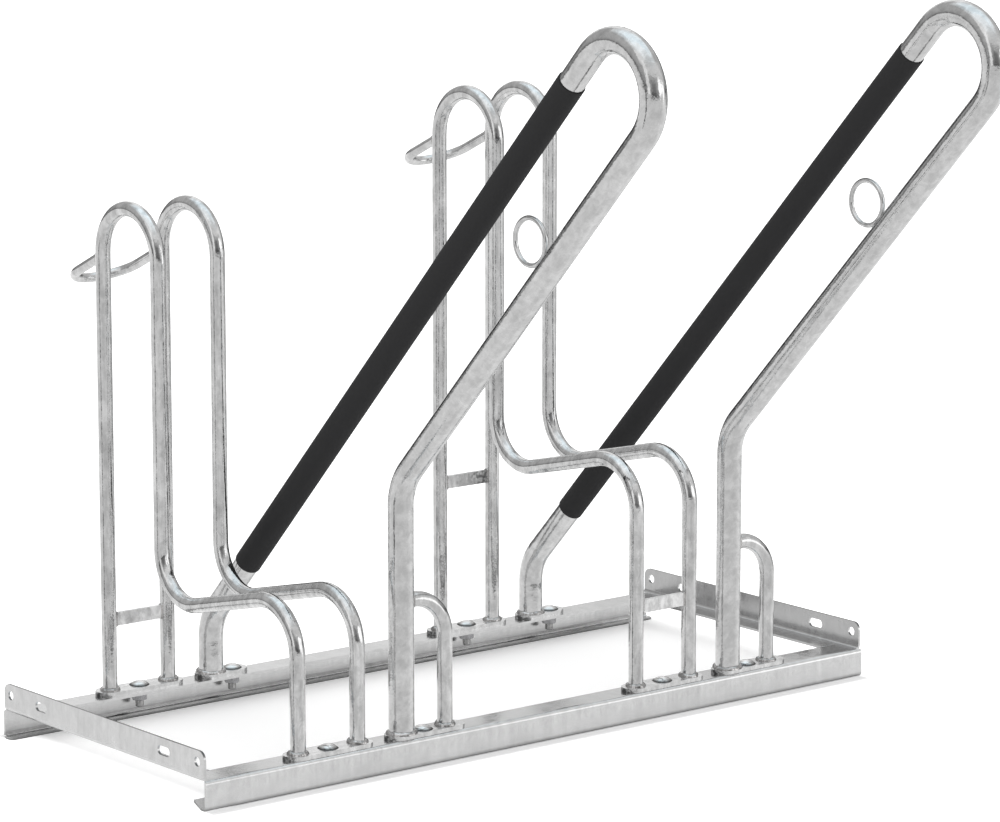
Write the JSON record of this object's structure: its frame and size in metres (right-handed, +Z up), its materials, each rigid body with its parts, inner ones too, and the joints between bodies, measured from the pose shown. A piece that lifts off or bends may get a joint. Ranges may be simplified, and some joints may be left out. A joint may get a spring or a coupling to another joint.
{
  "type": "bike leaning rack",
  "caption": "Bolted galvanised steel bicycle rack with a low and a high wheel holder, leaning bows with black sleeves and lock eyes, and end plates to join units in a row.",
  "frame": {"origin": "centre of the bounding box on the ground", "axes": "+X right along the rails seen from the front, -Y the front where bicycles enter and the bows lean out, +Z up"},
  "size_m": [0.994, 0.919, 0.8771],
  "materials": {
    "galvanised_steel": "hot-dip galvanised, softly mottled, satin",
    "zinc_fasteners": "zinc plated, satin",
    "black_sleeve": "smooth matt black"
  },
  "bodies": {
    "root": {"front_rail": "galvanised_steel", "rear_rail": "galvanised_steel", "left_end_rail": "galvanised_steel", "right_end_rail": "galvanised_steel", "low_holder_left_tube": "galvanised_steel", "low_holder_right_tube": "galvanised_steel", "low_holder_rear_bar": "galvanised_steel", "low_holder_lock_loop": "galvanised_steel", "low_holder_front_foot": "galvanised_steel", "low_holder_rear_foot": "galvanised_steel", "high_holder_left_tube": "galvanised_steel", "high_holder_right_tube": "galvanised_steel", "high_holder_rear_bar": "galvanised_steel", "high_holder_front_bar": "galvanised_steel", "high_holder_lock_loop": "galvanised_steel", "high_holder_front_foot": "galvanised_steel", "high_holder_rear_foot": "galvanised_steel", "left_bow_tube": "galvanised_steel", "left_bow_sleeve": "black_sleeve", "left_bow_lock_eye": "galvanised_steel", "left_bow_brace": "galvanised_steel", "left_bow_front_foot": "galvanised_steel", "left_bow_rear_foot": "galvanised_steel", "right_bow_tube": "galvanised_steel", "right_bow_sleeve": "black_sleeve", "right_bow_lock_eye": "galvanised_steel", "right_bow_brace": "galvanised_steel", "right_bow_front_foot": "galvanised_steel", "right_bow_rear_foot": "galvanised_steel", "carriage_bolts": "zinc_fasteners", "washers": "zinc_fasteners", "nuts": "zinc_fasteners", "locating_pegs": "zinc_fasteners"}
  },
  "joints": []
}
